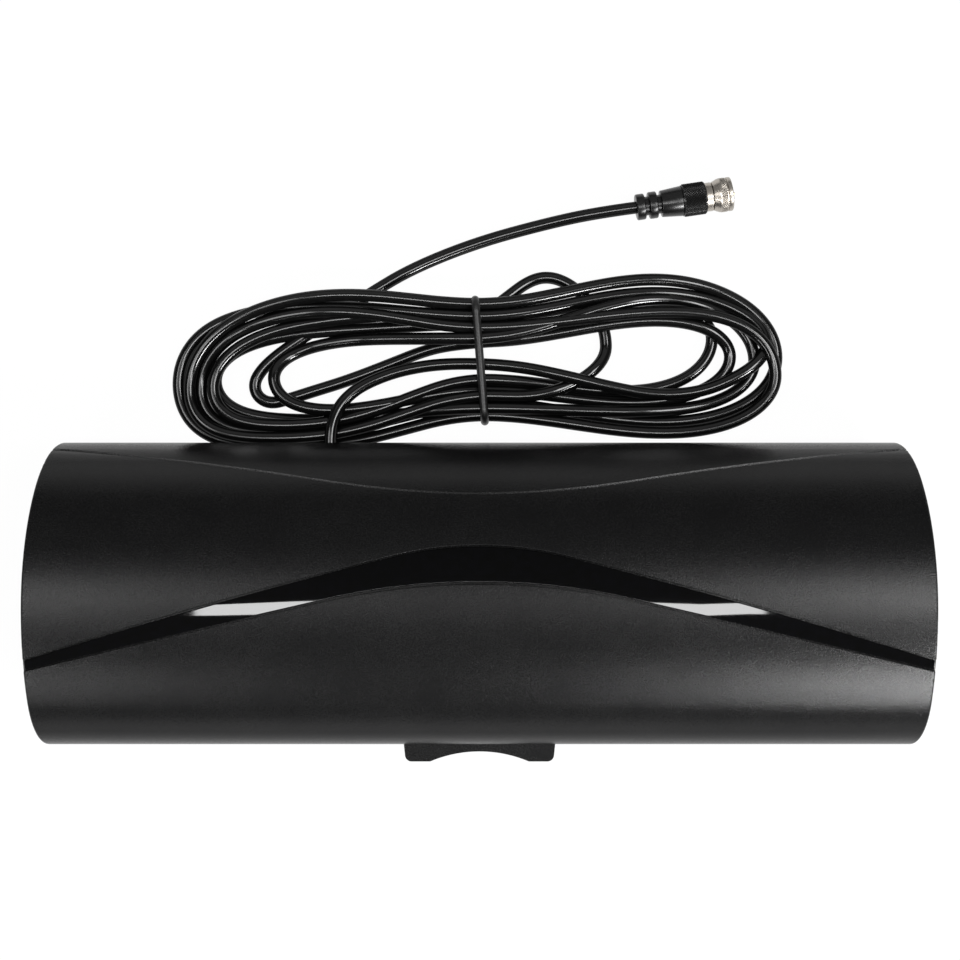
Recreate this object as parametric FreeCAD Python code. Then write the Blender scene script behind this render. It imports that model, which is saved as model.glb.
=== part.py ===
"""Indoor television antenna: a curved bar housing with a coax lead tied in a hank.

Millimetres. The antenna lies on its back on the plane Z = 0: X runs along the bar,
Y from the foot to the top edge, and Z out of the curved front. The origin is under
the middle of the housing and its foot.
"""
import FreeCAD, Part
import math
import os
from collections import namedtuple

V = FreeCAD.Vector
X_AXIS = V(1, 0, 0)
Y_AXIS = V(0, 1, 0)
Z_AXIS = V(0, 0, 1)

# Housing section: the crest is the line of the front that is furthest from the back
body_length = 280.0
body_depth = 60.0
top_reach = 52.0
top_edge_level = 12.0
top_blend = 45.0
bottom_reach = 46.5
bottom_edge_level = 27.0
bottom_blend = 25.0
rear_top_rise = 8.0
rear_top_setback = 16.6
rear_top_round = 5.0
rear_top_foot_round = 12.0
rear_bottom_rise = 19.0
rear_bottom_setback = 16.9
rear_bottom_round = 6.0
rear_bottom_foot_round = 8.0
end_round = 0.9
wall = 2.4

# Wavy seam between front cover and rear shell, and the lap joint behind it
seam_crest = 47.2
seam_crest_radius = 330.0
seam_crest_half = 55.0
seam_wing_radius = 2500.0
seam_gap = 0.4
lap_height = 1.8
lap_clearance = 0.15
seam_line_width = 0.7
seam_line_depth = 1.5
seam_stations = 12

# Gloss trim: heights of its two edges above the crest line, seen from the front
band_top_crest = 19.4
band_top_radius = 115.0
band_top_half = 27.0
band_top_wing = 1550.0
band_bottom_crest = 7.6
band_bottom_radius = 215.0
band_bottom_half = 48.0
band_bottom_wing = 9000.0
groove_depth = 1.1
groove_rim = 0.2
trim_recess = 0.45
trim_clearance = 0.55
trim_rim = 0.3
trim_end_gap = 0.3
trim_peg_radius = 1.1
trim_peg_hole = 1.25
trim_peg_length = 4.0
trim_peg_inner = 55.0
trim_peg_outer = 105.0

# Foot under the middle of the bottom edge
foot_drop = 6.7
foot_width = 50.0
foot_base_width = 48.6
foot_front = 24.0
foot_heel = 12.9
foot_corner = 2.2
foot_arch_width = 32.5
foot_arch_rise = 3.3
foot_wall = 2.5
foot_rib = 2.5
foot_screw_spread = 14.0
foot_screw_inset = 4.9
foot_screw_seat = 8.0
foot_boss_radius = 4.2

# Screws: self-tapping, drawn with their core diameter
screw_core = 1.4
screw_pilot = 1.45
screw_clear = 1.7
screw_head = 2.8
screw_head_height = 2.0
screw_head_round = 0.6
screw_tip = 1.6
screw_point = 0.4
small_core = 1.1
small_pilot = 1.15
small_clear = 1.35
small_head = 2.1
small_head_height = 1.5
head_clearance = 0.5

# Case screws run from the back into long bosses of the front cover
case_column_spread = 122.0
case_row_top = 25.0
case_row_bottom = -25.0
case_seat = 5.0
case_split = 12.0
case_split_gap = 0.1
case_screw_length = 19.0
case_pilot_depth = 15.0
case_standoff_radius = 5.2
case_boss_radius = 4.0

# Dipole blades, matching board and balun
blade_level = 22.0
blade_thickness = 0.8
blade_centre = 2.0
blade_inner = 10.0
blade_neck = 26.0
blade_outer = 112.0
blade_neck_half = 5.0
blade_outer_half = 29.0
blade_corner = 2.5
blade_post_inner = 60.0
blade_post_outer = 104.0
blade_screw_length = 8.0
post_radius = 3.4
pilot_spare = 1.5
board_width = 44.0
board_height = 36.0
board_thickness = 1.6
board_corner = 1.5
board_screw_inset_x = 5.0
board_screw_inset_y = 4.0
board_screw_length = 7.0
rivet_place = 14.0
rivet_shank = 1.2
rivet_hole = 1.25
rivet_head = 2.2
rivet_head_height = 0.8
core_width = 14.0
core_length = 10.0
core_height = 7.0
core_corner = 2.3
core_hole = 1.25
core_hole_spread = 3.2
winding_radius = 1.0
winding_overhang = 2.0

# Coax: where it leaves the housing, how it is held there and how it reaches the board
cord_radius = 2.1
cord_arc_share = 0.45
exit_x = -50.5
exit_level = 10.0
exit_setback = 1.1
exit_recess_clearance = 0.3
exit_wall_thickness = 2.0
exit_boss_radius = 5.2
exit_boss_bore = 4.6
bush_neck = 3.3
bush_hole = 3.4
bush_flange = 4.3
bush_flange_thickness = 0.9
bush_bore_clearance = 0.05
clamp_setback = 16.0
clamp_width = 21.0
clamp_depth = 6.0
clamp_thickness = 3.6
clamp_corner = 2.4
clamp_post_spread = 7.0
clamp_post_radius = 2.7
clamp_grip = 0.6
clamp_boss_gap = 0.4
clamp_screw_length = 7.0
lead_in_turn = 25.5
lead_in_board_x = -34.0
lead_in_end_x = -8.0
lead_in_board_y = 8.5
clip_width = 5.0
clip_thickness = 0.7
clip_middle_x = -14.0

# Loose cord: points chosen by hand along its route, after the exit and up to the plug
lead_route = (
    (-49.4, 64.2, 10.7),
    (-42.8, 73.8, 10.9),
    (-32.5, 79.4, 10.8),
    (-21.0, 81.2, 9.4),
    (-12.0, 81.4, 7.0),
)
tail_route = (
    (-36.9, 104.3, 2.2),
    (-22.5, 112.6, 2.2),
    (-1.0, 121.0, 2.2),
    (23.0, 127.3, 2.9),
    (40.5, 131.1, 5.3),
)
hank_outline = (
    (-105.0, 76.0),
    (-96.5, 93.5),
    (-72.0, 104.0),
    (-36.9, 104.5),
    (0.0, 99.3),
    (30.0, 106.8),
    (62.0, 110.2),
    (88.0, 102.4),
    (103.5, 82.0),
    (96.5, 63.0),
    (66.0, 53.2),
    (28.0, 56.8),
    (0.0, 61.9),
    (-28.0, 55.2),
    (-62.0, 53.4),
    (-93.0, 55.2),
)
hank_left_opening = (
    (-69.0, 72.0),
    (-62.0, 87.0),
    (-16.0, 85.5),
    (-40.0, 74.5),
    (-60.0, 66.5),
)
hank_right_opening = (
    (9.0, 82.5),
    (46.0, 91.0),
    (76.0, 91.0),
    (74.0, 79.0),
    (56.0, 73.0),
    (30.0, 76.5),
)
hank_opening_corner = 3.0
hank_height = 8.4
tie_radius = 1.4
tie_clearance = 0.15
tie_corner = 4.0
tie_top = (-1.5, 101.2)
tie_bottom = (1.8, 60.0)
tie_rise = 12.2

# Plug: lengths along its axis from the cord end, and radii
plug_start = (53.4, 132.97, 5.8)
plug_yaw = 8.3
rib_one_length = 3.0
rib_one_radius = 4.4
rib_gap = 1.3
rib_gap_radius = 3.2
rib_two_length = 2.9
rib_two_radius = 4.55
rib_edge_round = 0.5
taper_length = 7.3
taper_start_radius = 4.5
taper_end_radius = 5.1
grip_length = 8.1
grip_radius = 5.4
collar_length = 2.0
collar_radius = 4.85
ferrule_length = 12.0
ferrule_radius = 3.2
boot_bore_clearance = 0.05
post_neck_radius = 3.0
post_flange_radius = 4.0
post_flange_thickness = 1.1
nut_gap = 0.2
nut_length = 6.6
nut_back_radius = 4.95
nut_radius = 5.75
nut_cone_length = 2.4
nut_lip_thickness = 2.4
nut_lip_clearance = 0.06
nut_end_clearance = 0.1
nut_bore_radius = 4.45
nut_edge = 0.5
insulator_radius = 1.8
insulator_fit = 0.05
pin_radius = 0.42
pin_reach = 1.2

# Places that follow from the sizes above
half_length = body_length / 2
y_top = (top_reach + bottom_reach + foot_drop) / 2
y_crest = y_top - top_reach
y_bottom = y_crest - bottom_reach
y_base = y_bottom - foot_drop
top_fall = body_depth - top_edge_level
bottom_fall = body_depth - bottom_edge_level
blade_top = blade_level + blade_thickness
board_bottom = blade_level - board_thickness
exit_boss_length = clamp_setback - clamp_depth / 2 - exit_setback - clamp_boss_gap
margin = 5.0
touch = 0.001

Wave = namedtuple("Wave", "crest crest_radius crest_half wing_radius")
seam_wave = Wave(seam_crest, seam_crest_radius, seam_crest_half, seam_wing_radius)
band_top_wave = Wave(y_crest + band_top_crest, band_top_radius, band_top_half, band_top_wing)
band_bottom_wave = Wave(y_crest + band_bottom_crest, band_bottom_radius, band_bottom_half, band_bottom_wing)


def cylinder(radius, start, end):
    """Round bar between two points."""
    axis = end - start
    return Part.makeCylinder(radius, axis.Length, start, axis)


def ring(outer, inner, start, end):
    """Tube between two points."""
    return cylinder(outer, start, end).cut(cylinder(inner, start, end))


def box(low, high):
    """Block between two corners."""
    size = high - low
    return Part.makeBox(size.x, size.y, size.z, low)


def loop_face(points):
    """Flat face inside straight edges."""
    return Part.Face(Part.makePolygon(list(points) + [points[0]]))


def rounded_corner(before, corner, after, radius):
    """Start, middle and end of the arc that rounds a corner."""
    back = (before - corner).normalize()
    on = (after - corner).normalize()
    half = back.getAngle(on) / 2
    reach = radius / math.tan(half)
    centre = corner + (back + on).normalize() * (radius / math.sin(half))
    middle = centre + (corner - centre).normalize() * radius
    return corner + back * reach, middle, corner + on * reach


def rounded_face(points, radius):
    """Flat face whose straight sides meet in equal round corners."""
    count = len(points)
    corners = [
        rounded_corner(points[i - 1], points[i], points[(i + 1) % count], radius)
        for i in range(count)
    ]
    edges = []
    for i, (start, middle, end) in enumerate(corners):
        edges.append(Part.Arc(start, middle, end).toShape())
        edges.append(Part.LineSegment(end, corners[(i + 1) % count][0]).toShape())
    return Part.Face(Part.Wire(edges))


def save(name, shape):
    """Write one named piece."""
    shape.exportStep(os.path.join("parts", name + ".step"))
    solids = len(shape.Solids)
    print(name, "solids", solids, "valid", shape.isValid(), "volume", round(shape.Volume, 1))


def arc_pair(reach, fall, blend):
    """Radii of two tangent arcs that run from the crest to an upright edge."""
    s = math.sin(math.radians(blend))
    c = math.cos(math.radians(blend))
    scale = s * c - (1 - s) * (1 - c)
    crest_radius = (reach * c - fall * (1 - s)) / scale
    edge_radius = (fall * s - reach * (1 - c)) / scale
    return crest_radius, edge_radius


def front_quarter(reach, fall, blend, side, x):
    """Edges of the front from the crest to the top edge (side 1) or bottom edge (side -1)."""
    crest_radius, edge_radius = arc_pair(reach, fall, blend)

    def on_crest(degrees):
        a = math.radians(degrees)
        y = y_crest + side * crest_radius * math.sin(a)
        return V(x, y, body_depth - crest_radius * (1 - math.cos(a)))

    turn = math.radians(blend)
    centre_y = y_crest + side * (crest_radius - edge_radius) * math.sin(turn)
    centre_z = body_depth - crest_radius + (crest_radius - edge_radius) * math.cos(turn)

    def on_edge(degrees):
        a = math.radians(degrees)
        return V(x, centre_y + side * edge_radius * math.sin(a), centre_z + edge_radius * math.cos(a))

    quarter_turn = 90.0
    return [
        Part.Arc(on_crest(0), on_crest(blend / 2), on_crest(blend)).toShape(),
        Part.Arc(on_edge(blend), on_edge((blend + quarter_turn) / 2), on_edge(quarter_turn)).toShape(),
    ]


def section_wire(x):
    """Outline of the housing across its length."""
    top = V(x, y_top, top_edge_level)
    top_knee = V(x, y_top, rear_top_rise)
    back_top = V(x, y_top - rear_top_setback, 0)
    back_bottom = V(x, y_bottom + rear_bottom_setback, 0)
    bottom_knee = V(x, y_bottom, rear_bottom_rise)
    bottom = V(x, y_bottom, bottom_edge_level)
    stops = [top, top_knee, back_top, back_bottom, bottom_knee, bottom]
    rounds = [rear_top_round, rear_top_foot_round, rear_bottom_foot_round, rear_bottom_round]
    edges = front_quarter(top_reach, top_fall, top_blend, 1, x)
    last = top
    for i, radius in enumerate(rounds):
        start, middle, end = rounded_corner(stops[i], stops[i + 1], stops[i + 2], radius)
        edges.append(Part.LineSegment(last, start).toShape())
        edges.append(Part.Arc(start, middle, end).toShape())
        last = end
    edges.append(Part.LineSegment(last, bottom).toShape())
    edges += reversed(front_quarter(bottom_reach, bottom_fall, bottom_blend, -1, x))
    return Part.Wire(Part.__sortEdges__(edges))


def housing_solid(inset, length):
    """The housing's form, with its section drawn in by an inset."""
    wire = section_wire(-length / 2)
    if inset:
        wire = wire.makeOffset2D(-inset)
    return Part.Face(wire).extrude(V(length, 0, 0))


def rounded_housing():
    """The housing's outside, with the edges of its two ends rounded."""
    solid = housing_solid(0, body_length)
    edges = [e for e in solid.Edges if e.BoundBox.XLength < end_round]
    return solid.makeFillet(end_round, edges)


def wing_centre(wave):
    """Centre of the right-hand wing's arc."""
    turn = math.asin(wave.crest_half / wave.crest_radius)
    joint = wave.crest - wave.crest_radius * (1 - math.cos(turn))
    return wave.crest_half - wave.wing_radius * math.sin(turn), joint - wave.wing_radius * math.cos(turn)


def wave_height(wave, x):
    """Height of the wave at a place along the bar."""
    if abs(x) <= wave.crest_half:
        return wave.crest - wave.crest_radius + math.sqrt(wave.crest_radius ** 2 - x ** 2)
    middle, level = wing_centre(wave)
    return level + math.sqrt(wave.wing_radius ** 2 - (abs(x) - middle) ** 2)


def wave_edges(wave, reach, place):
    """Crest arc and two long wing arcs, from left to right; place puts a point in space."""

    def at(x):
        return place(x, wave_height(wave, x))

    half = wave.crest_half
    between = (half + reach) / 2
    return [
        Part.Arc(at(-reach), at(-between), at(-half)).toShape(),
        Part.Arc(at(-half), at(0), at(half)).toShape(),
        Part.Arc(at(half), at(between), at(reach)).toShape(),
    ]


def top_profile_y(z):
    """Y of the front's upper half at a height."""
    crest_radius, edge_radius = arc_pair(top_reach, top_fall, top_blend)
    turn = math.radians(top_blend)
    joint = body_depth - crest_radius * (1 - math.cos(turn))
    if z >= joint:
        return y_crest + math.sqrt(crest_radius ** 2 - (crest_radius - body_depth + z) ** 2)
    middle_y = y_crest + (crest_radius - edge_radius) * math.sin(turn)
    middle_z = joint - edge_radius * math.cos(turn)
    return middle_y + math.sqrt(edge_radius ** 2 - (z - middle_z) ** 2)


def in_front_of_seam(lift):
    """Everything on the front's side of the parting line, moved forward by lift."""
    seam_reach = half_length - wall
    level = wave_height(seam_wave, seam_reach) + lift
    side = half_length + margin
    ceiling = body_depth + margin

    def place(x, z):
        return V(x, y_crest, z + lift)

    edges = wave_edges(seam_wave, seam_reach, place)
    corners = [
        place(seam_reach, level - lift),
        V(side, y_crest, level),
        V(side, y_crest, ceiling),
        V(-side, y_crest, ceiling),
        V(-side, y_crest, level),
        place(-seam_reach, level - lift),
    ]
    edges += [Part.LineSegment(a, b).toShape() for a, b in zip(corners, corners[1:])]
    upper = Part.Face(Part.Wire(edges)).extrude(V(0, top_reach + margin, 0))
    lower = box(V(-side, y_bottom - margin, level), V(side, y_crest, ceiling))
    return upper.fuse(lower)


def seam_line():
    """Narrow upright channel along the parting line, which shows as a dark line from the front."""
    side = half_length + margin
    seam_reach = half_length - wall
    places = [side * i / seam_stations for i in range(-seam_stations, seam_stations + 1)]
    middle = []
    for x in places:
        level = wave_height(seam_wave, min(abs(x), seam_reach))
        middle.append(V(x, top_profile_y(level), 0))
    sides = []
    for shift in (-seam_line_width / 2, seam_line_width / 2):
        curve = Part.BSplineCurve()
        curve.interpolate([p + Y_AXIS * shift for p in middle])
        sides.append(curve.toShape())
    ends = []
    for p in (middle[0], middle[-1]):
        half = Y_AXIS * (seam_line_width / 2)
        ends.append(Part.LineSegment(p - half, p + half).toShape())
    wire = Part.Wire(Part.__sortEdges__(sides + ends))
    channel = Part.Face(wire).extrude(V(0, 0, body_depth + margin))
    return channel.common(in_front_of_seam(-seam_line_depth))


def meeting_edges(shape, walls, skin):
    """Edges of a shape along which upright walls meet its skin."""

    def on(solid, point):
        return solid.isInside(point, touch, True) and not solid.isInside(point, touch, False)

    edges = []
    for edge in shape.Edges:
        middle = edge.valueAt((edge.FirstParameter + edge.LastParameter) / 2)
        if on(walls, middle) and on(skin, middle):
            edges.append(edge)
    return edges


def band_prism(clearance, reach):
    """The wave-shaped band across the front, as a block that stands along Z."""

    def place(x, y):
        return V(x, y, body_depth / 2)

    top = wave_edges(band_top_wave._replace(crest=band_top_wave.crest - clearance), reach, place)
    bottom = wave_edges(band_bottom_wave._replace(crest=band_bottom_wave.crest + clearance), reach, place)
    top_left = top[0].valueAt(top[0].FirstParameter)
    top_right = top[-1].valueAt(top[-1].LastParameter)
    bottom_left = bottom[0].valueAt(bottom[0].FirstParameter)
    bottom_right = bottom[-1].valueAt(bottom[-1].LastParameter)
    sides = [
        Part.LineSegment(top_right, bottom_right).toShape(),
        Part.LineSegment(bottom_left, top_left).toShape(),
    ]
    wire = Part.Wire(Part.__sortEdges__(top + bottom + sides))
    return Part.Face(wire).extrude(V(0, 0, body_depth))


def band_layer(outer, inner, clearance, length):
    """The part of the band that lies between two depths below the front's surface."""
    reach = length / 2
    layer = housing_solid(outer, length).cut(housing_solid(inner, length + margin))
    return layer.common(band_prism(clearance, reach))


def screw(seat, direction, length, core, head, head_height):
    """Pan-head screw whose head sits on seat and whose shank points along direction."""
    cap = cylinder(head, seat, seat - direction * head_height)
    crown = seat - direction * head_height
    rim = [e for e in cap.Edges if (e.CenterOfMass - crown).Length < screw_head_round / 2]
    cap = cap.makeFillet(screw_head_round, rim)
    straight_end = seat + direction * (length - screw_tip)
    shank = cylinder(core, seat, straight_end)
    tip = Part.makeCone(core, screw_point, screw_tip, straight_end, direction)
    return cap.fuse([shank, tip]).removeSplitter()


def case_places():
    """Centres of the case screws."""
    columns = (-case_column_spread, 0, case_column_spread)
    return [(x, y) for x in columns for y in (case_row_top, case_row_bottom)]


def foot_screw_places():
    """Centres of the foot screws."""
    y = y_bottom + foot_screw_inset
    return [(-foot_screw_spread, y), (foot_screw_spread, y)]


def blade_screw_places():
    """Centres of the screws that hold the two blades."""
    posts = (blade_post_inner, blade_post_outer)
    return [(side * x, blade_centre) for side in (-1, 1) for x in posts]


def board_screw_places():
    """Centres of the board's four screws."""
    x = board_width / 2 - board_screw_inset_x
    y = board_height / 2 - board_screw_inset_y
    return [(i * x, blade_centre + j * y) for i in (-1, 1) for j in (-1, 1)]


def clamp_screw_places():
    """Centres of the cable clamp's two screws."""
    y = y_top - clamp_setback
    return [(exit_x - clamp_post_spread, y), (exit_x + clamp_post_spread, y)]


def exit_face():
    """Y of the flat face that the cord leaves through."""
    return y_top - exit_setback


def clamp_seat():
    """Height of the posts that the clamp is screwed to."""
    return exit_level + clamp_grip


def upright(radius, place, low, high):
    """Post or hole that stands along Z."""
    x, y = place
    return cylinder(radius, V(x, y, low), V(x, y, high))


def make_front_cover(outside, middle, cavity):
    """Curved front moulding with its rebate, trim groove, peg holes and screw bosses."""
    groove = band_layer(0, groove_depth, 0, body_length + 2 * margin)
    skin = outside.cut(middle).common(in_front_of_seam(seam_gap / 2)).cut([seam_line(), groove])
    skin = skin.makeFillet(groove_rim, meeting_edges(skin, band_prism(0, half_length + margin), outside))
    lining = middle.cut([cavity, groove]).common(in_front_of_seam(lap_height + seam_gap / 2))
    bosses = [upright(case_boss_radius, p, case_split, body_depth).common(middle) for p in case_places()]
    cover = skin.fuse([lining] + bosses)
    pilots = [upright(screw_pilot, p, case_split, case_split + case_pilot_depth) for p in case_places()]
    holes = [upright(trim_peg_hole, p, body_depth / 2, body_depth) for p in peg_places()]
    return cover.cut(pilots + holes).removeSplitter()


def peg_places():
    """Centres of the trim's pegs, on the middle line of the band."""
    waves = (band_top_wave, band_bottom_wave)
    columns = (-trim_peg_outer, -trim_peg_inner, 0, trim_peg_inner, trim_peg_outer)
    return [(x, sum(wave_height(wave, x) for wave in waves) / 2) for x in columns]


def make_gloss_trim():
    """Thin glossy insert that lies in the front cover's groove, with pegs behind it."""
    length = body_length - 2 * trim_end_gap
    strip = band_layer(trim_recess, groove_depth, trim_clearance, length)
    walls = band_prism(trim_clearance, length / 2)
    strip = strip.makeFillet(trim_rim, meeting_edges(strip, walls, housing_solid(trim_recess, length)))
    core = housing_solid((trim_recess + groove_depth) / 2, body_length)
    pegs = []
    for place in peg_places():
        peg = upright(trim_peg_radius, place, body_depth / 2, body_depth).common(core)
        peg_end = peg.BoundBox.ZMax - groove_depth - trim_peg_length
        pegs.append(peg.cut(upright(trim_peg_hole, place, 0, peg_end)))
    return strip.fuse(pegs).removeSplitter()


def make_rear_shell(outside, middle, cavity):
    """Tray-shaped back with the lap tongue, posts, screw recesses and the cord's exit."""
    shell = outside.cut(cavity).cut([in_front_of_seam(-seam_gap / 2), seam_line()])
    tongue = housing_solid(wall / 2 + lap_clearance, body_length - wall - 2 * lap_clearance).cut(cavity)
    tongue = tongue.common(in_front_of_seam(-seam_gap)).cut(in_front_of_seam(lap_height - seam_gap / 2))
    posts = [upright(case_standoff_radius, p, 0, case_split - case_split_gap) for p in case_places()]
    posts += [upright(foot_boss_radius, p, 0, foot_front) for p in foot_screw_places()]
    posts += [upright(post_radius, p, 0, blade_level) for p in blade_screw_places()]
    posts += [upright(post_radius, p, 0, board_bottom) for p in board_screw_places()]
    posts += [upright(clamp_post_radius, p, 0, clamp_seat()) for p in clamp_screw_places()]
    posts = [post.common(middle) for post in posts]
    face = V(exit_x, exit_face(), exit_level)
    exit_boss = cylinder(exit_boss_radius, face - Y_AXIS * exit_boss_length, face)
    shell = shell.fuse(posts + [tongue, exit_boss])
    cuts = [upright(screw_clear, p, 0, case_split) for p in case_places()]
    cuts += [upright(screw_head + head_clearance, p, 0, case_seat) for p in case_places()]
    cuts += [upright(screw_pilot, p, 0, foot_front - foot_wall / 2) for p in foot_screw_places()]
    blade_hole = blade_screw_length + pilot_spare
    board_hole = board_screw_length + pilot_spare
    cuts += [upright(small_pilot, p, blade_level - blade_hole, blade_level) for p in blade_screw_places()]
    cuts += [upright(small_pilot, p, board_bottom - board_hole, board_bottom) for p in board_screw_places()]
    seat = clamp_seat()
    cuts += [upright(small_pilot, p, seat - clamp_screw_length, seat) for p in clamp_screw_places()]
    inner_face = face - Y_AXIS * exit_wall_thickness
    cuts.append(cylinder(exit_boss_bore, inner_face - Y_AXIS * exit_boss_length, inner_face))
    cuts.append(cylinder(bush_hole, inner_face, face))
    cuts.append(cylinder(bush_flange + exit_recess_clearance, face, face + Y_AXIS * margin))
    return shell.cut(cuts).removeSplitter()


def make_foot():
    """Foot with an arched underside, hollow at the back round its two screw bosses."""
    half_top = foot_width / 2
    half_base = foot_base_width / 2
    slope = rear_bottom_setback / rear_bottom_rise
    heel_y = y_bottom + foot_heel
    heel_z = rear_bottom_rise - foot_heel / slope

    def outline(inset, floor):
        top_y = heel_y + margin
        points = [
            V(-half_top + inset, top_y, 0),
            V(half_top - inset, top_y, 0),
            V(half_top - inset, y_bottom, 0),
            V(half_base - inset, floor, 0),
            V(-half_base + inset, floor, 0),
            V(-half_top + inset, y_bottom, 0),
        ]
        return points

    front = loop_face(outline(0, y_base)).extrude(V(0, 0, foot_front))
    corners = [e for e in front.Edges if abs(e.CenterOfMass.y - y_base) < foot_corner / 10]
    corners = [e for e in corners if e.BoundBox.ZLength > foot_front / 2]
    front = front.makeFillet(foot_corner, corners)
    side = loop_face([
        V(-half_top, y_base, 0),
        V(-half_top, y_base, foot_front),
        V(-half_top, y_bottom, foot_front),
        V(-half_top, y_bottom, rear_bottom_rise),
        V(-half_top, heel_y, heel_z),
        V(-half_top, heel_y, 0),
    ]).extrude(V(foot_width, 0, 0))
    foot = front.common(side)
    pocket_floor = y_base + foot_arch_rise + foot_wall
    pocket = loop_face(outline(foot_wall, pocket_floor)).extrude(V(0, 0, foot_front - foot_wall))
    thickness = foot_wall * math.hypot(1, slope)
    hollow = loop_face([
        V(-half_top, pocket_floor, 0),
        V(-half_top, pocket_floor, heel_z + (heel_y - pocket_floor - thickness) / slope),
        V(-half_top, heel_y - foot_wall, heel_z - (thickness - foot_wall) / slope),
        V(-half_top, heel_y - foot_wall, 0),
    ]).extrude(V(foot_width, 0, 0))
    rib = box(V(-foot_rib / 2, y_base, 0), V(foot_rib / 2, heel_y, foot_front))
    bosses = [upright(foot_boss_radius, p, foot_screw_seat, foot_front) for p in foot_screw_places()]
    foot = foot.cut(pocket.common(hollow).cut([rib] + bosses))
    arch_half = foot_arch_width / 2
    arch_left = V(-arch_half, y_base, 0)
    arch_right = V(arch_half, y_base, 0)
    arch_edges = [
        Part.Arc(arch_left, V(0, y_base + foot_arch_rise, 0), arch_right).toShape(),
        Part.LineSegment(arch_right, arch_left).toShape(),
    ]
    arch = Part.Face(Part.Wire(arch_edges)).extrude(V(0, 0, foot_front))
    holes = [upright(screw_clear, p, 0, foot_front) for p in foot_screw_places()]
    holes += [upright(screw_head + head_clearance, p, 0, foot_screw_seat) for p in foot_screw_places()]
    return foot.cut([arch] + holes).removeSplitter()


def make_blade(side):
    """One stamped blade of the dipole; side is -1 for left and 1 for right."""
    profile = [
        (blade_inner, -blade_neck_half),
        (blade_neck, -blade_neck_half),
        (blade_outer, -blade_outer_half),
        (blade_outer, blade_outer_half),
        (blade_neck, blade_neck_half),
        (blade_inner, blade_neck_half),
    ]
    points = [V(side * x, blade_centre + y, blade_level) for x, y in profile]
    blade = rounded_face(points, blade_corner).extrude(V(0, 0, blade_thickness))
    screws = [p for p in blade_screw_places() if p[0] * side > 0]
    holes = [upright(small_clear, p, blade_level, blade_top) for p in screws]
    holes.append(upright(rivet_hole, (side * rivet_place, blade_centre), blade_level, blade_top))
    return blade.cut(holes)


def make_board():
    """Matching board with holes for its screws and the blades' rivets."""
    half_w = board_width / 2
    half_h = board_height / 2
    corners = [
        V(i * half_w, blade_centre + j * half_h, board_bottom)
        for i, j in ((-1, -1), (1, -1), (1, 1), (-1, 1))
    ]
    board = rounded_face(corners, board_corner).extrude(V(0, 0, board_thickness))
    holes = [upright(small_clear, p, board_bottom, blade_level) for p in board_screw_places()]
    rivets = [(side * rivet_place, blade_centre) for side in (-1, 1)]
    holes += [upright(rivet_hole, p, board_bottom, blade_level) for p in rivets]
    return board.cut(holes)


def make_rivet(side):
    """Rivet through a blade's inner end and the board."""
    place = (side * rivet_place, blade_centre)
    shank = upright(rivet_shank, place, board_bottom, blade_top)
    upper = upright(rivet_head, place, blade_top, blade_top + rivet_head_height)
    lower = upright(rivet_head, place, board_bottom - rivet_head_height, board_bottom)
    return shank.fuse([upper, lower])


def core_axis_level():
    """Height of the balun core's two holes."""
    return blade_level + core_height / 2


def make_balun_core():
    """Two-hole ferrite block that stands on the board."""
    low = V(-core_width / 2, blade_centre - core_length / 2, blade_level)
    core = box(low, low + V(core_width, core_length, core_height))
    ends = [e for e in core.Edges if e.BoundBox.YLength > core_length / 2]
    core = core.makeFillet(core_corner, ends)
    holes = []
    for side in (-1, 1):
        start = V(side * core_hole_spread, blade_centre - core_length, core_axis_level())
        holes.append(cylinder(core_hole, start, start + Y_AXIS * 2 * core_length))
    return core.cut(holes)


def make_balun_winding():
    """Loop of wire through both holes of the core."""
    reach = core_length / 2 + winding_overhang
    level = core_axis_level()
    spread = core_hole_spread
    low_y = blade_centre - reach
    high_y = blade_centre + reach
    edges = [
        Part.LineSegment(V(spread, low_y, level), V(spread, high_y, level)).toShape(),
        Part.Arc(V(spread, high_y, level), V(0, high_y + spread, level), V(-spread, high_y, level)).toShape(),
        Part.LineSegment(V(-spread, high_y, level), V(-spread, low_y, level)).toShape(),
        Part.Arc(V(-spread, low_y, level), V(0, low_y - spread, level), V(spread, low_y, level)).toShape(),
    ]
    section = Part.Wire(Part.Circle(V(spread, low_y, level), Y_AXIS, winding_radius).toShape())
    return Part.Wire(edges).makePipeShell([section], True, False)


def cord_path(points, name):
    """Straight runs joined by tangent arcs, each as large as its two runs allow."""
    points = [V(*p) for p in points]
    edges = []
    radii = []
    last = points[0]
    for before, corner, after in zip(points, points[1:], points[2:]):
        half = (before - corner).getAngle(after - corner) / 2
        reach = cord_arc_share * min((before - corner).Length, (after - corner).Length)
        radii.append(reach * math.tan(half))
        start, middle, end = rounded_corner(before, corner, after, radii[-1])
        edges.append(Part.LineSegment(last, start).toShape())
        edges.append(Part.Arc(start, middle, end).toShape())
        last = end
    edges.append(Part.LineSegment(last, points[-1]).toShape())
    print(name, "bend radii", [round(r, 1) for r in radii])
    return Part.Wire(edges)


def cord_tube(points, name):
    """Cord along a route, with its volume compared with section times length."""
    path = cord_path(points, name)
    start = V(*points[0])
    section = Part.Wire(Part.Circle(start, V(*points[1]) - start, cord_radius).toShape())
    tube = path.makePipeShell([section], True, True)
    expected = math.pi * cord_radius ** 2 * path.Length
    print(name, "length", round(path.Length, 1), "volume share", round(tube.Volume / expected, 4))
    return tube


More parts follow.
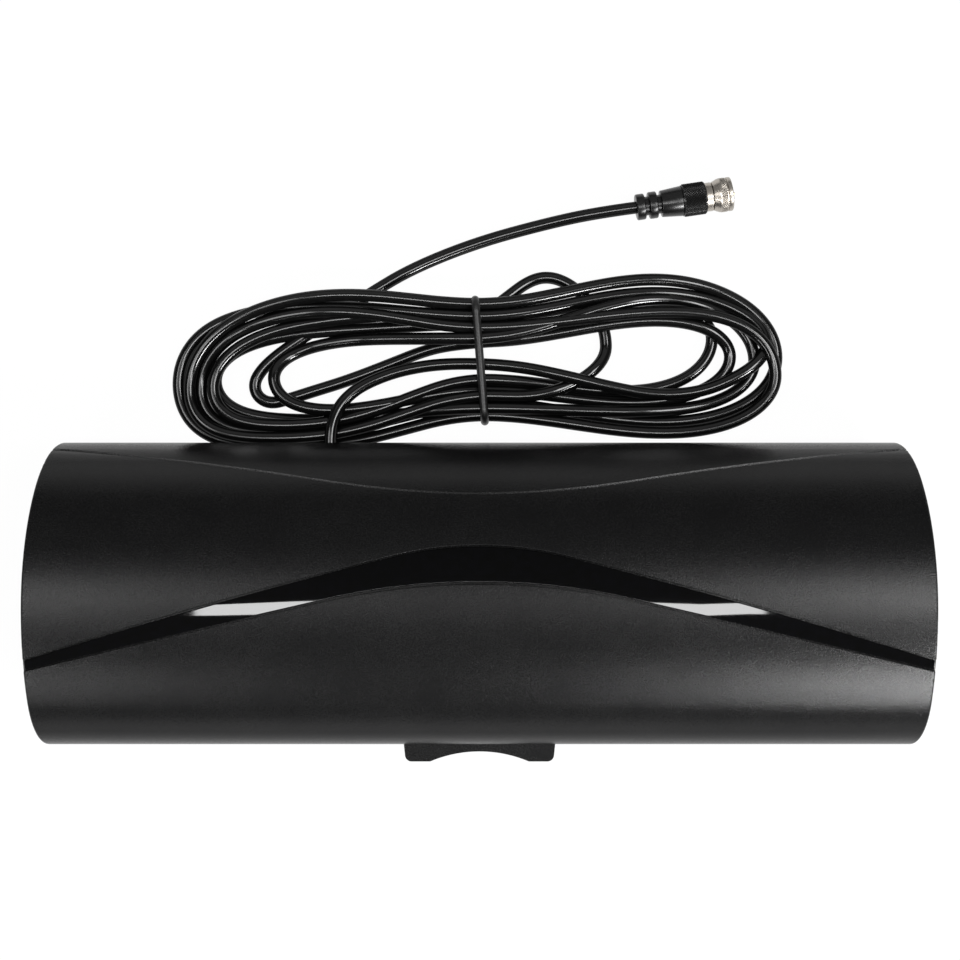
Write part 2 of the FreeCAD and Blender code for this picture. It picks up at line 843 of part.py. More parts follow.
def make_lead_in():
    """Coax inside the housing, from the bush to the underside of the board."""
    level = board_bottom - cord_radius
    start_y = exit_face() + bush_flange_thickness
    return cord_tube([
        (exit_x, start_y, exit_level),
        (exit_x, start_y - lead_in_turn, exit_level),
        (lead_in_board_x, lead_in_board_y, level),
        (lead_in_end_x, lead_in_board_y, level),
    ], "lead_in")


def make_coax_clip():
    """Strap under the board that holds the end of the coax."""
    level = board_bottom - cord_radius
    inner = cord_radius
    outer = cord_radius + clip_thickness
    low_x = clip_middle_x - clip_width / 2
    start = V(low_x, lead_in_board_y, level)
    strap = ring(outer, inner, start, start + X_AXIS * clip_width)
    strap = strap.cut(box(start + V(0, -outer, 0), start + V(clip_width, outer, outer)))
    legs = []
    for side in (-1, 1):
        edge = lead_in_board_y + side * (inner + outer) / 2
        low = V(low_x, edge - clip_thickness / 2, level)
        legs.append(box(low, low + V(clip_width, clip_thickness, cord_radius)))
    return strap.fuse(legs).removeSplitter()


def make_cable_clamp():
    """Moulded bar that holds the coax down between two posts."""
    y = y_top - clamp_setback
    half_w = clamp_width / 2
    half_d = clamp_depth / 2
    corners = [
        V(exit_x + i * half_w, y + j * half_d, clamp_seat())
        for i, j in ((-1, -1), (1, -1), (1, 1), (-1, 1))
    ]
    bar = rounded_face(corners, clamp_corner).extrude(V(0, 0, clamp_thickness))
    middle = V(exit_x, y, exit_level)
    holes = [cylinder(cord_radius, middle - Y_AXIS * clamp_depth, middle + Y_AXIS * clamp_depth)]
    top = clamp_seat() + clamp_thickness
    holes += [upright(small_clear, p, clamp_seat(), top) for p in clamp_screw_places()]
    return bar.cut(holes)


def make_cable_bush():
    """Grommet in the exit hole, with a flange on each side of the wall."""
    face = V(exit_x, exit_face(), exit_level)
    inner_face = face - Y_AXIS * exit_wall_thickness
    neck = cylinder(bush_neck, inner_face, face)
    outer = cylinder(bush_flange, face, face + Y_AXIS * bush_flange_thickness)
    inner = cylinder(bush_flange, inner_face - Y_AXIS * bush_flange_thickness, inner_face)
    bore_end = face + Y_AXIS * exit_wall_thickness
    bore = cylinder(cord_radius + bush_bore_clearance, inner_face - Y_AXIS * exit_wall_thickness, bore_end)
    return neck.fuse([outer, inner]).cut(bore).removeSplitter()


def smooth_face(points):
    """Flat face inside a smooth closed curve."""
    curve = Part.BSplineCurve()
    curve.interpolate(Points=[V(x, y, 0) for x, y in points], PeriodicFlag=True)
    return Part.Face(Part.Wire(curve.toShape()))


def make_cord_tie(clearance=0):
    """Soft tie drawn round the middle of the hank, or the room that it lies in."""
    top = V(tie_top[0], tie_top[1], tie_radius)
    bottom = V(tie_bottom[0], tie_bottom[1], tie_radius)
    rise = V(0, 0, tie_rise - tie_radius)
    corners = [bottom, top, top + rise, bottom + rise]
    wire = rounded_face(corners, tie_corner).OuterWire
    edge = max(wire.Edges, key=lambda e: e.Length)
    start = edge.valueAt(edge.FirstParameter)
    circle = Part.Circle(start, edge.tangentAt(edge.FirstParameter), tie_radius + clearance)
    return wire.makePipeShell([Part.Wire(circle.toShape())], True, False)


def make_cord_hank():
    """Outer shape of the tied hank, with the openings inside its two loops."""
    rise = V(0, 0, hank_height)
    openings = []
    for points in (hank_left_opening, hank_right_opening):
        face = rounded_face([V(x, y, 0) for x, y in points], hank_opening_corner)
        openings.append(face.extrude(rise))
    return smooth_face(hank_outline).extrude(rise).cut(openings + [make_cord_tie(tie_clearance)])


def on_plug(shape):
    """Move a piece drawn along X from the origin to the plug's place."""
    shape = shape.copy()
    shape.rotate(V(0, 0, 0), Z_AXIS, plug_yaw)
    shape.translate(V(*plug_start))
    return shape


def turned(profile):
    """Solid of revolution round X from (along, radius) points."""
    face = loop_face([V(along, radius, 0) for along, radius in profile])
    return face.revolve(V(0, 0, 0), X_AXIS, 360)


def boot_end():
    """Where the boot ends and the metal collar starts."""
    return rib_one_length + rib_gap + rib_two_length + rib_gap + taper_length + grip_length


def make_plug_boot():
    """Boot moulded onto the end of the cord: two ribs, a taper and the grip."""
    rib_two = rib_one_length + rib_gap
    taper = rib_two + rib_two_length + rib_gap
    grip = taper + taper_length
    end = boot_end()
    socket = end - ferrule_length
    boot = turned([
        (0, 0),
        (0, rib_one_radius - rib_edge_round),
        (rib_edge_round, rib_one_radius),
        (rib_one_length, rib_one_radius),
        (rib_one_length, rib_gap_radius),
        (rib_two, rib_gap_radius),
        (rib_two, rib_two_radius - rib_edge_round),
        (rib_two + rib_edge_round, rib_two_radius),
        (rib_two + rib_two_length, rib_two_radius),
        (rib_two + rib_two_length, rib_gap_radius),
        (taper, rib_gap_radius),
        (taper, taper_start_radius),
        (grip, taper_end_radius),
        (grip, grip_radius),
        (end - rib_edge_round, grip_radius),
        (end, grip_radius - rib_edge_round),
        (end, ferrule_radius + boot_bore_clearance),
        (socket, ferrule_radius + boot_bore_clearance),
        (socket, 0),
    ])
    return on_plug(boot)


def nut_start():
    """Where the nut starts along the plug."""
    return boot_end() + collar_length + nut_gap


def flange_start():
    """Where the post's flange, which keeps the nut on, starts."""
    return nut_start() + nut_lip_thickness + nut_end_clearance


def make_plug_body():
    """Metal ferrule, collar and post with the flange that keeps the nut on."""
    collar = boot_end()
    flange = flange_start()
    bore = insulator_radius + insulator_fit
    body = turned([
        (collar - ferrule_length, bore),
        (collar - ferrule_length, ferrule_radius),
        (collar, ferrule_radius),
        (collar, collar_radius),
        (collar + collar_length, collar_radius),
        (collar + collar_length, post_neck_radius),
        (flange, post_neck_radius),
        (flange, post_flange_radius),
        (flange + post_flange_thickness, post_flange_radius),
        (flange + post_flange_thickness, bore),
    ])
    return on_plug(body)


def make_plug_insulator():
    """White dielectric round the centre pin."""
    start = boot_end() - ferrule_length
    end = flange_start() + post_flange_thickness
    return on_plug(ring(insulator_radius, pin_radius, X_AXIS * start, X_AXIS * end))


def make_plug_pin():
    """Centre conductor, reaching just past the nut."""
    start = boot_end() - ferrule_length
    end = nut_start() + nut_length + pin_reach
    return on_plug(cylinder(pin_radius, X_AXIS * start, X_AXIS * end))


def make_plug_nut():
    """Screw-on nut: a lip that turns on the post, a cone, a grip and an open bore."""
    start = nut_start()
    end = start + nut_length
    nut = turned([
        (start, post_neck_radius + nut_lip_clearance),
        (start, nut_back_radius - nut_edge),
        (start + nut_edge, nut_back_radius),
        (start + nut_cone_length, nut_radius),
        (end - nut_edge, nut_radius),
        (end, nut_radius - nut_edge),
        (end, nut_bore_radius),
        (start + nut_lip_thickness, nut_bore_radius),
        (start + nut_lip_thickness, post_neck_radius + nut_lip_clearance),
    ])
    return on_plug(nut)


def make_cord_lead():
    """Cord from the bush over the hank."""
    start_y = exit_face() + bush_flange_thickness
    return cord_tube(((exit_x, start_y, exit_level),) + lead_route, "cord_lead")


def small_screws(places, seat, length):
    """Group of small screws that point at the back."""
    return Part.makeCompound([
        screw(V(x, y, seat), -Z_AXIS, length, small_core, small_head, small_head_height) for x, y in places
    ])


def rear_screws(places, seat, length):
    """Group of case-sized screws driven from the back."""
    return Part.makeCompound([
        screw(V(x, y, seat), Z_AXIS, length, screw_core, screw_head, screw_head_height) for x, y in places
    ])


def main():
    """Build every piece and write it."""
    os.makedirs("parts", exist_ok=True)
    outside = rounded_housing()
    middle = housing_solid(wall / 2, body_length - wall)
    cavity = housing_solid(wall, body_length - 2 * wall)
    save("front_cover", make_front_cover(outside, middle, cavity))
    save("gloss_trim", make_gloss_trim())
    save("rear_shell", make_rear_shell(outside, middle, cavity))
    save("foot", make_foot())
    save("case_screws", rear_screws(case_places(), case_seat, case_screw_length))
    foot_screw_length = foot_front - foot_wall - foot_screw_seat
    save("foot_screws", rear_screws(foot_screw_places(), foot_screw_seat, foot_screw_length))
    save("element_left", make_blade(-1))
    save("element_right", make_blade(1))
    save("element_screws", small_screws(blade_screw_places(), blade_top, blade_screw_length))
    save("matching_board", make_board())
    save("board_screws", small_screws(board_screw_places(), blade_level, board_screw_length))
    save("terminal_rivets", Part.makeCompound([make_rivet(-1), make_rivet(1)]))
    save("balun_core", make_balun_core())
    save("balun_winding", make_balun_winding())
    save("lead_in", make_lead_in())
    save("coax_clip", make_coax_clip())
    save("cable_clamp", make_cable_clamp())
    clamp_top = clamp_seat() + clamp_thickness
    save("clamp_screws", small_screws(clamp_screw_places(), clamp_top, clamp_screw_length))
    save("cable_bush", make_cable_bush())
    save("cord_lead", make_cord_lead())
    save("cord_hank", make_cord_hank())
    save("cord_tie", make_cord_tie())
    save("cord_tail", cord_tube(tail_route + (plug_start,), "cord_tail"))
    save("plug_boot", make_plug_boot())
    save("plug_body", make_plug_body())
    save("plug_insulator", make_plug_insulator())
    save("plug_pin", make_plug_pin())
    save("plug_nut", make_plug_nut())


main()
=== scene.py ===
# %% [markdown]
# # An indoor TV antenna with its tied lead
# The part is a moulded black bar that lies on its back on a white table. Its coax lead is tied in a loose
# hank above it and ends in a screw-on plug. The CAD model gives every rigid shape and its place, so this
# lesson adds what CAD leaves plain: the lead as one smooth curve, the knurls of the plug, the finishes,
# the light and the camera.

# %% Set-up
import math
from collections import namedtuple

import bmesh
import bpy
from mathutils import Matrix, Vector


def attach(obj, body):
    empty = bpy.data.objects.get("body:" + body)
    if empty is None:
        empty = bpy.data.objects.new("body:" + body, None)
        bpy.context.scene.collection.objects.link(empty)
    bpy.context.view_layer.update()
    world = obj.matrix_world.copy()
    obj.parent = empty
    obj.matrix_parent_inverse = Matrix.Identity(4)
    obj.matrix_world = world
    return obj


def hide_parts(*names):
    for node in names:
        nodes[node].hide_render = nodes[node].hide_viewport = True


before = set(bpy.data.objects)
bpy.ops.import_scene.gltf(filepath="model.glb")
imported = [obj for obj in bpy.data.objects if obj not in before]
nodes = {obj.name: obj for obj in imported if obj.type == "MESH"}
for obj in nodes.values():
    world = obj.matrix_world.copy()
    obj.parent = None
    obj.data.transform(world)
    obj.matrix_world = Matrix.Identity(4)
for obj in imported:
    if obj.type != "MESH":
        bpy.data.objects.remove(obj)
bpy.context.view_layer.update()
bpy.ops.object.select_all(action="DESELECT")
MM = 0.001

# %% [markdown]
# ## The camera
# The photograph looks straight down. A camera that is not turned already looks down with +Y towards the
# top of the picture, so only its place and its lens need values. The view is half a metre above the table,
# which is close enough for the crest of the bar to look about an eighth larger than the table under it.

# %% Camera
CAMERA_PLACE = (0.16 * MM, 40.0 * MM, 510.0 * MM)
LENS_MM = 55.40
SENSOR_MM = 36.0

bpy.ops.object.camera_add(location=CAMERA_PLACE, rotation=(0, 0, 0))
camera = bpy.context.object
camera.name = "camera"
camera.data.lens = LENS_MM
camera.data.sensor_width = SENSOR_MM
bpy.context.scene.camera = camera
print("camera at", tuple(camera.location), "with a lens of", LENS_MM, "mm")

# %% [markdown]
# ## The loose ends of the lead
# A coax lead is a springy round cable, so it never folds: between two held places it always swings out in
# a rounded loop. The lead leaves the housing, passes through the tie, turns round on the right, makes six
# turns in the hank and runs out to the plug. Its two loose ends, before and after the hank, are lists of
# points in millimetres, as in the CAD model, that follow the photograph.

# %% The lead's loose ends
CORD_DIAMETER = 4.2
PLUG_START = (53.4, 132.97, 5.8)

LEAD = [(-50.5, 51.6, 10.0), (-50.5, 55.5, 10.0), (-49.6, 60.5, 9.6), (-47.0, 66.0, 9.0),
        (-42.0, 70.8, 8.2), (-35.0, 74.5, 7.2), (-26.0, 77.6, 6.2), (-14.0, 79.6, 5.2), (0.0, 79.8, 5.0),
        (14.0, 78.6, 6.4), (28.0, 75.6, 8.6), (42.0, 72.2, 7.6), (55.0, 69.6, 6.2), (67.0, 69.0, 5.6),
        (78.0, 70.8, 5.8), (87.5, 75.0, 6.4), (93.4, 78.8, 6.3), (97.0, 82.8, 5.4)]
TAIL = [(-12.0, 86.0, 3.4), (-20.0, 84.0, 2.4), (-30.0, 80.0, 2.1), (-45.0, 74.2, 2.1),
        (-58.0, 70.2, 2.1), (-66.0, 67.6, 2.1), (-72.0, 66.2, 2.1), (-76.4, 68.6, 2.1),
        (-77.6, 73.2, 2.1), (-75.0, 77.8, 2.1), (-70.6, 82.0, 2.1), (-64.6, 86.4, 2.1),
        (-56.0, 91.9, 2.1), (-47.5, 97.4, 2.1), (-37.8, 104.0, 2.1), (-23.0, 112.8, 2.1),
        (-1.0, 121.6, 2.1), (23.0, 128.0, 2.9), (40.5, 131.4, 5.0), PLUG_START]
print("loose ends of", len(LEAD), "and", len(TAIL), "points")

# %% [markdown]
# ## The loops of the hank
# A tie pinches the hank in the middle, and loops of different reach fan out left and right of it. Each
# loop is described by how far it reaches from the tie, where its middle lies, how far it swells up and
# down, how square the corners of its upper and lower strands are, and how soon it leaves the pinch.
#
# The last seven values are the heights of its middle line at seven stations round the loop: strands that
# cross lie on each other in long low humps, and the rest lie on the table. The lanes are the places of the
# upper and lower strands at the tie, in the order in which the lead runs through them.

# %% The hank's loops
Loop = namedtuple("Loop", "reach middle up down up_corner down_corner pinch heights")

STATIONS = (0.0, 0.16, 0.32, 0.5, 0.68, 0.84, 1.0)
FIRST_ARC = Loop(98.3, 86.5, 23.5, 0.0, 2.9, 4.0, 48.0, (8.5, 5.6, 2.3, 4.2, 4.2, 4.2, 4.2))
UPPER_LANES = (95.5, 91.6, 99.6, 97.6, 93.4, 88.0, 87.2)
LOWER_LANES = (62.3, 66.5, 68.6, 74.3, 64.4, 70.7)
LEFT_LOOPS = (
    Loop(103.6, 73.0, 26.8, 22.0, 6.5, 10.0, 34.0, (8.5, 6.0, 2.1, 2.1, 2.1, 2.1, 4.9)),
    Loop(95.8, 71.0, 27.6, 15.0, 4.6, 12.0, 34.0, (8.5, 9.6, 5.2, 2.1, 2.1, 2.1, 4.9)),
    Loop(99.4, 70.8, 33.6, 16.8, 3.9, 12.0, 34.0, (8.5, 9.6, 6.3, 4.6, 5.6, 6.2, 8.5)),
    Loop(91.0, 71.5, 24.0, 13.3, 3.9, 12.0, 34.0, (4.9, 6.3, 5.9, 6.2, 5.8, 5.7, 6.3)),
    Loop(90.8, 74.0, 17.4, 13.7, 5.0, 9.0, 34.0, (4.9, 3.4, 2.1, 2.1, 2.1, 2.6, 8.5)),
    Loop(70.3, 74.8, 13.6, 12.3, 5.0, 7.4, 34.0, (8.9, 6.4, 2.1, 5.6, 5.9, 5.9, 4.9)),
)
RIGHT_LOOPS = (
    Loop(101.0, 75.5, 23.4, 22.3, 6.4, 4.7, 48.0, (4.9, 6.1, 5.4, 6.6, 8.0, 9.3, 8.5)),
    Loop(102.2, 82.0, 32.4, 25.2, 3.4, 4.6, 48.0, (4.9, 2.1, 2.1, 2.1, 2.1, 5.6, 8.5)),
    Loop(43.5, 86.0, 31.8, 21.1, 1.8, 1.6, 16.0, (8.5, 7.6, 5.0, 2.4, 2.1, 2.1, 4.9)),
    Loop(80.0, 88.5, 16.0, 22.5, 5.0, 4.0, 48.0, (6.3, 2.3, 2.1, 2.1, 2.1, 4.6, 4.9)),
    Loop(94.6, 81.0, 28.0, 18.6, 3.4, 5.6, 48.0, (8.5, 5.4, 2.1, 2.1, 2.4, 8.6, 8.9)),
    Loop(86.0, 82.1, 16.0, 19.3, 4.6, 3.8, 48.0, (4.9, 2.1, 2.1, 3.6, 6.2, 5.6, 4.9)),
)
print("a hank of", len(LEFT_LOOPS), "turns")

# %% [markdown]
# ## From loops to a route
# The shape of a loop could be drawn point by point, but a formula keeps it smooth: a rounded box gives its
# swell, and a soft bell pulls both strands to their lanes at the tie. The pull fades out before the tip, so
# that the tip stays round. The points follow a sine, which crowds them at the tip, where the lead bends
# most. The route then strings the loose ends and the loops together.

# %% Strands of a loop
STEPS = 26
PULL_FADE = 6


def strand_y(loop, lane, upper, out):
    """Y of a loop's upper or lower strand at a distance out from the tie."""
    size = loop.up if upper else -loop.down
    corner = loop.up_corner if upper else loop.down_corner
    swell = math.sqrt(max(0.0, 1 - (out / loop.reach) ** corner))
    pull = math.exp(-((out / loop.pinch) ** 2)) * (1 - (out / loop.reach) ** PULL_FADE)
    return loop.middle + size * swell + (lane - loop.middle - size) * pull


def height(loop, share):
    """Height of a loop's middle line, eased from station to station round the loop."""
    for i in range(len(STATIONS) - 1):
        if share <= STATIONS[i + 1]:
            t = (share - STATIONS[i]) / (STATIONS[i + 1] - STATIONS[i])
            ease = t * t * (3 - 2 * t)
            return loop.heights[i] + ease * (loop.heights[i + 1] - loop.heights[i])
    return loop.heights[-1]


def swing(loop, side, lanes, upper_first):
    """Points round a loop on one side of the tie, from one lane at the tie to the other."""
    points = []
    for i in range(STEPS + 1):
        share = i / STEPS
        outward = share < 0.5
        lane = lanes[0] if outward else lanes[1]
        out = loop.reach * math.sin(math.pi * share)
        y = strand_y(loop, lane, outward == upper_first, out)
        points.append((side * out, y, height(loop, share)))
    return points


def first_arc():
    """The upper half of the lead's own right-hand arc, from its tip to the tie."""
    half = swing(FIRST_ARC, 1, (UPPER_LANES[0], UPPER_LANES[0]), True)[:STEPS // 2 + 1]
    return half[::-1]


print("each loop has", STEPS + 1, "points")

# %% The whole route
route = LEAD + first_arc()[:-1]
for i, (left, right) in enumerate(zip(LEFT_LOOPS, RIGHT_LOOPS)):
    route += swing(left, -1, (UPPER_LANES[i], LOWER_LANES[i]), True)[:-1]
    route += swing(right, 1, (LOWER_LANES[i], UPPER_LANES[i + 1]), False)[:-1]
route.append((0.0, UPPER_LANES[-1], RIGHT_LOOPS[-1].heights[-1]))
route += TAIL
print("the lead's route has", len(route), "points")

# %% [markdown]
# ## The lead as a curve
# A curve with a round bevel is the usual way to make a cable: it stays one smooth tube however it bends. A
# NURBS spline of order 3 passes near its points without corners, and its ends reach the first and last
# point. Each point carries the radius of the cable, which scales a bevel that is a plain one metre deep.
# The curve's bounding box grows by the radius of its points too, so this way it fits the cable.

# %% The lead's curve
SPLINE_ORDER = 3
STEPS_PER_POINT = 6
BEVEL_STEPS = 5


def cable(name, points, diameter):
    """A round tube along a smooth curve through points in millimetres."""
    curve = bpy.data.curves.new(name, "CURVE")
    curve.dimensions = "3D"
    curve.bevel_depth = 1.0
    curve.bevel_resolution = BEVEL_STEPS
    curve.resolution_u = STEPS_PER_POINT
    curve.use_fill_caps = True
    spline = curve.splines.new("NURBS")
    spline.points.add(len(points) - 1)
    for point, (x, y, z) in zip(spline.points, points):
        point.co = (x * MM, y * MM, z * MM, 1)
        point.radius = diameter / 2 * MM
    spline.order_u = SPLINE_ORDER
    spline.use_endpoint_u = True
    piece = bpy.data.objects.new(name, curve)
    bpy.context.scene.collection.objects.link(piece)
    return piece


lead = cable("lead", route, CORD_DIAMETER)
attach(lead, "antenna")
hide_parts("cord_lead", "cord_hank", "cord_tail")

# %% [markdown]
# ## Turning a piece ring by ring
# The boot and the nut of the plug are round pieces with a knurl, the crossed pattern that gives fingers a
# grip. A lathe would turn them and a wheel would press the knurl. Spin, the lathe among the mesh tools,
# makes straight rows of faces, but a knurl needs rows that lean. So each piece grows from a circle instead:
# every station extrudes the ring, moves it along the axis and scales it, and on the knurl it also turns by
# half a step.

# %% Turning
Station = namedtuple("Station", "along radius half_steps", defaults=(0,))
MERGE = 0.02 * MM


def turn(name, stations, count):
    """A closed turned piece that stands along Z; the last ring joins the first."""
    half_step = math.pi / count
    first = stations[0]
    bpy.ops.object.select_all(action="DESELECT")
    bpy.ops.mesh.primitive_circle_add(vertices=count, radius=first.radius * MM, location=(0, 0, 0))
    piece = bpy.context.object
    piece.name = name
    bpy.ops.object.mode_set(mode="EDIT")
    bpy.ops.mesh.select_mode(type="VERT")
    bpy.ops.mesh.select_all(action="SELECT")
    bpy.ops.transform.translate(value=(0, 0, first.along * MM))
    for before, after in zip(stations, stations[1:] + stations[:1]):
        step = (after.along - before.along) * MM
        bpy.ops.mesh.extrude_region_move(TRANSFORM_OT_translate={"value": (0, 0, step)})
        centre = (0, 0, after.along * MM)
        ratio = after.radius / before.radius
        bpy.ops.transform.resize(value=(ratio, ratio, 1), center_override=centre)
        if after.half_steps:
            angle = half_step * after.half_steps
            bpy.ops.transform.rotate(value=angle, orient_axis="Z", center_override=centre)
    bpy.ops.mesh.select_all(action="SELECT")
    bpy.ops.mesh.remove_doubles(threshold=MERGE)
    bpy.ops.mesh.normals_make_consistent(inside=False)
    return piece


print("rings closer than", MERGE / MM, "mm are joined")

# %% [markdown]
# ## Knurling a turned piece
# On the grip the leaning rings are cut into triangles. Taking out the edges that run round the piece joins
# the triangles in pairs to diamonds, and Poke raises the middle of each. Faces and edges are picked by
# their place, as a hand would pick them.

# %% Knurling
SLACK = 0.05 * MM


def pick(piece, kind, test):
    """Selects the faces or edges of a piece in edit mode that pass a test, and nothing else."""
    bpy.ops.mesh.select_mode(type=kind)
    bpy.ops.mesh.select_all(action="DESELECT")
    shape = bmesh.from_edit_mesh(piece.data)
    items = shape.faces if kind == "FACE" else shape.edges
    chosen = [item for item in items if test(item)]
    for item in chosen:
        item.select_set(True)
    bmesh.update_edit_mesh(piece.data)
    return len(chosen)


def knurl(piece, low, high, radius, depth):
    """Raises a diamond on each crossing of the leaning rows between two places along the axis."""
    bottom = low * MM
    top = high * MM

    def on_grip(item):
        return all(bottom - SLACK < v.co.z < top + SLACK and v.co.xy.length > radius * MM - SLACK
                   for v in item.verts)

    def runs_round(edge):
        ends = [v.co.z for v in edge.verts]
        level = abs(ends[0] - ends[1]) < SLACK
        return on_grip(edge) and level and bottom + SLACK < ends[0] < top - SLACK

    pick(piece, "FACE", on_grip)
    bpy.ops.mesh.quads_convert_to_tris(quad_method="SHORTEST_DIAGONAL")
    pick(piece, "EDGE", runs_round)
    bpy.ops.mesh.dissolve_edges(use_verts=False)
    count = pick(piece, "FACE", lambda face: len(face.verts) == 4 and on_grip(face))
    bpy.ops.mesh.poke(offset=depth * MM)
    return count


print("the knurl is picked to within", SLACK / MM, "mm")

# %% [markdown]
# ## Laying a piece on the plug's axis
# A turned piece stands upright at the origin. It is laid along the axis of the plug, and then its place
# goes into its mesh, so that its object stays at the origin as the CAD nodes' objects do.

# %% Laying
PLUG_YAW = 8.3
SMOOTH_DEGREES = 32.0


def lay_on_axis(piece):
    """Lays a turned piece along the plug's axis, and leaves its object at the origin."""
    bpy.ops.object.mode_set(mode="OBJECT")
    piece.location = [v * MM for v in PLUG_START]
    piece.rotation_euler = (0, math.radians(90), math.radians(PLUG_YAW))
    bpy.ops.object.transform_apply(location=True, rotation=True, scale=True)
    bpy.ops.object.shade_smooth_by_angle(angle=math.radians(SMOOTH_DEGREES))


print("the plug points", PLUG_YAW, "degrees up from the X axis")

# %% [markdown]
# ## The boot of the plug
# The boot is soft black plastic moulded round the end of the lead. Two ribs let it bend, a taper follows,
# and the grip at the end carries a fine diamond knurl. The edges of the ribs and of the taper are rounded
# by a few rings of their own. A socket inside the grip takes the metal body of the plug.

# %% Ribs and grips
Rib = namedtuple("Rib", "start end first_radius last_radius rounding")
ROUNDING_DEGREES = (0, 30, 60, 90)


def rounded_rib(rib):
    """Stations along a rib whose two edges are rounded."""
    bends = [math.radians(degrees) for degrees in ROUNDING_DEGREES]
    edge = [(rib.rounding * (1 - math.cos(a)), rib.rounding * (1 - math.sin(a))) for a in bends]
    stations = [Station(rib.start + inward, rib.first_radius - drop) for inward, drop in edge]
    stations += [Station(rib.end - inward, rib.last_radius - drop) for inward, drop in reversed(edge)]
    return stations


def grip_stations(start, end, radius, rows):
    """Even stations over a knurl, each turned half a step further."""
    pitch = (end - start) / rows
    return [Station(start + i * pitch, radius, 1 if i else 0) for i in range(rows + 1)]


print("rounded edges have", len(ROUNDING_DEGREES), "rings")

# %% Boot
BOOT_BORE = 2.0
RIB_GAP_RADIUS = 3.2
GRIP_START = 15.8
GRIP_END = 23.9
GRIP_MARGIN = 0.25
GRIP_BELT = (GRIP_START + GRIP_MARGIN, GRIP_END - GRIP_MARGIN)
GRIP_SHOULDER = 5.25
GRIP_FLOOR = 5.3
GRIP_RIM = 4.9
GRIP_ROWS = 16
GRIP_DIAMOND = 0.30
SOCKET_RADIUS = 3.25
SOCKET_START = 11.9
BOOT_COUNT = 44
RIBS = (Rib(0.0, 3.0, 4.4, 4.4, 0.5), Rib(4.3, 7.2, 4.55, 4.55, 0.5))
TAPER = Rib(8.5, GRIP_START, 4.5, 5.1, 0.3)

boot_stations = [Station(0.0, BOOT_BORE)]
for rib, following in zip(RIBS, RIBS[1:] + (TAPER,)):
    boot_stations += rounded_rib(rib)
    boot_stations += [Station(rib.end, RIB_GAP_RADIUS), Station(following.start, RIB_GAP_RADIUS)]
boot_stations += rounded_rib(TAPER)
boot_stations += [Station(GRIP_START, GRIP_SHOULDER)]
boot_stations += grip_stations(*GRIP_BELT, GRIP_FLOOR, GRIP_ROWS)
boot_stations += [Station(GRIP_END, GRIP_RIM), Station(GRIP_END, SOCKET_RADIUS)]
boot_stations += [Station(SOCKET_START, SOCKET_RADIUS), Station(SOCKET_START, BOOT_BORE)]
boot = turn("knurled_boot", boot_stations, BOOT_COUNT)
diamonds = knurl(boot, *GRIP_BELT, GRIP_FLOOR, GRIP_DIAMOND)
lay_on_axis(boot)
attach(boot, "antenna")
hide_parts("plug_boot")
print("boot with", diamonds, "diamonds and", len(boot.data.polygons), "faces")

# %% [markdown]
# ## The nut of the plug
# The nickel nut screws onto the socket of a television, so it turns freely on the plug. A cone leads up to
# a narrow knurled belt, and a plain rim surrounds the open bore. It is turned and knurled just as the boot
# is, but it rides on a body of its own.

# %% Nut
NUT_START = 26.1
NUT_END = 32.7
NUT_LIP_RADIUS = 3.06
NUT_LIP_END = 28.5
NUT_BACK_EDGE = ((0.0, 4.35), (0.2, 4.75), (0.6, 4.95))
NUT_CONE_RADIUS = 5.68
NUT_CONE_GAP = 0.25
NUT_BELT = (28.6, 31.0)
NUT_FLOOR = 5.63
NUT_ROWS = 6
NUT_DIAMOND = 0.16
NUT_RIM_GAP = 0.2
NUT_RADIUS = 5.75
NUT_ROUNDING = 0.35
NUT_BORE = 4.45
NUT_CHAMFER = 0.25
NUT_COUNT = 52
RIM = Rib(NUT_BELT[1] + NUT_RIM_GAP, NUT_END, NUT_RADIUS, NUT_RADIUS, NUT_ROUNDING)

nut_stations = [Station(NUT_START, NUT_LIP_RADIUS)]
nut_stations += [Station(NUT_START + along, radius) for along, radius in NUT_BACK_EDGE]
nut_stations += [Station(NUT_BELT[0] - NUT_CONE_GAP, NUT_CONE_RADIUS)]
nut_stations += grip_stations(*NUT_BELT, NUT_FLOOR, NUT_ROWS)
nut_stations += rounded_rib(RIM)
nut_stations += [Station(NUT_END, NUT_BORE + NUT_CHAMFER), Station(NUT_END - NUT_CHAMFER, NUT_BORE)]
nut_stations += [Station(NUT_LIP_END, NUT_BORE), Station(NUT_LIP_END, NUT_LIP_RADIUS)]
nut = turn("knurled_nut", nut_stations, NUT_COUNT)
diamonds = knurl(nut, *NUT_BELT, NUT_FLOOR, NUT_DIAMOND)
lay_on_axis(nut)
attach(nut, "plug_nut")
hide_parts("plug_nut")
print("nut with", diamonds, "diamonds and", len(nut.data.polygons), "faces")

# %% [markdown]
# ## What the lead is
# By this point the lead has its route and its plug.

# %% The lead declared
print("the lead has its plug and tie")

# %% [markdown]
# ## Shared effects as node groups
# Moulded plastic is never one flat colour. A shader node group holds an effect once, with named inputs, so
# every finish can use it at its own scale. The first group gives a fine grain, such as the spark-eroded
# grain of the housing, whose tiny pits catch the light. The second gives slow smudges that vary colour and
# roughness a little.

# %% Node helpers


def new_group(name, inputs, outputs):
    """An empty shader group with float inputs and the named outputs, and its two ends."""
    group = bpy.data.node_groups.new(name, "ShaderNodeTree")
    for label, value in inputs:
        socket = group.interface.new_socket(label, in_out="INPUT", socket_type="NodeSocketFloat")
        socket.default_value = value
    for label, kind in outputs:
        group.interface.new_socket(label, in_out="OUTPUT", socket_type=kind)
    return group, group.nodes.new("NodeGroupInput"), group.nodes.new("NodeGroupOutput")


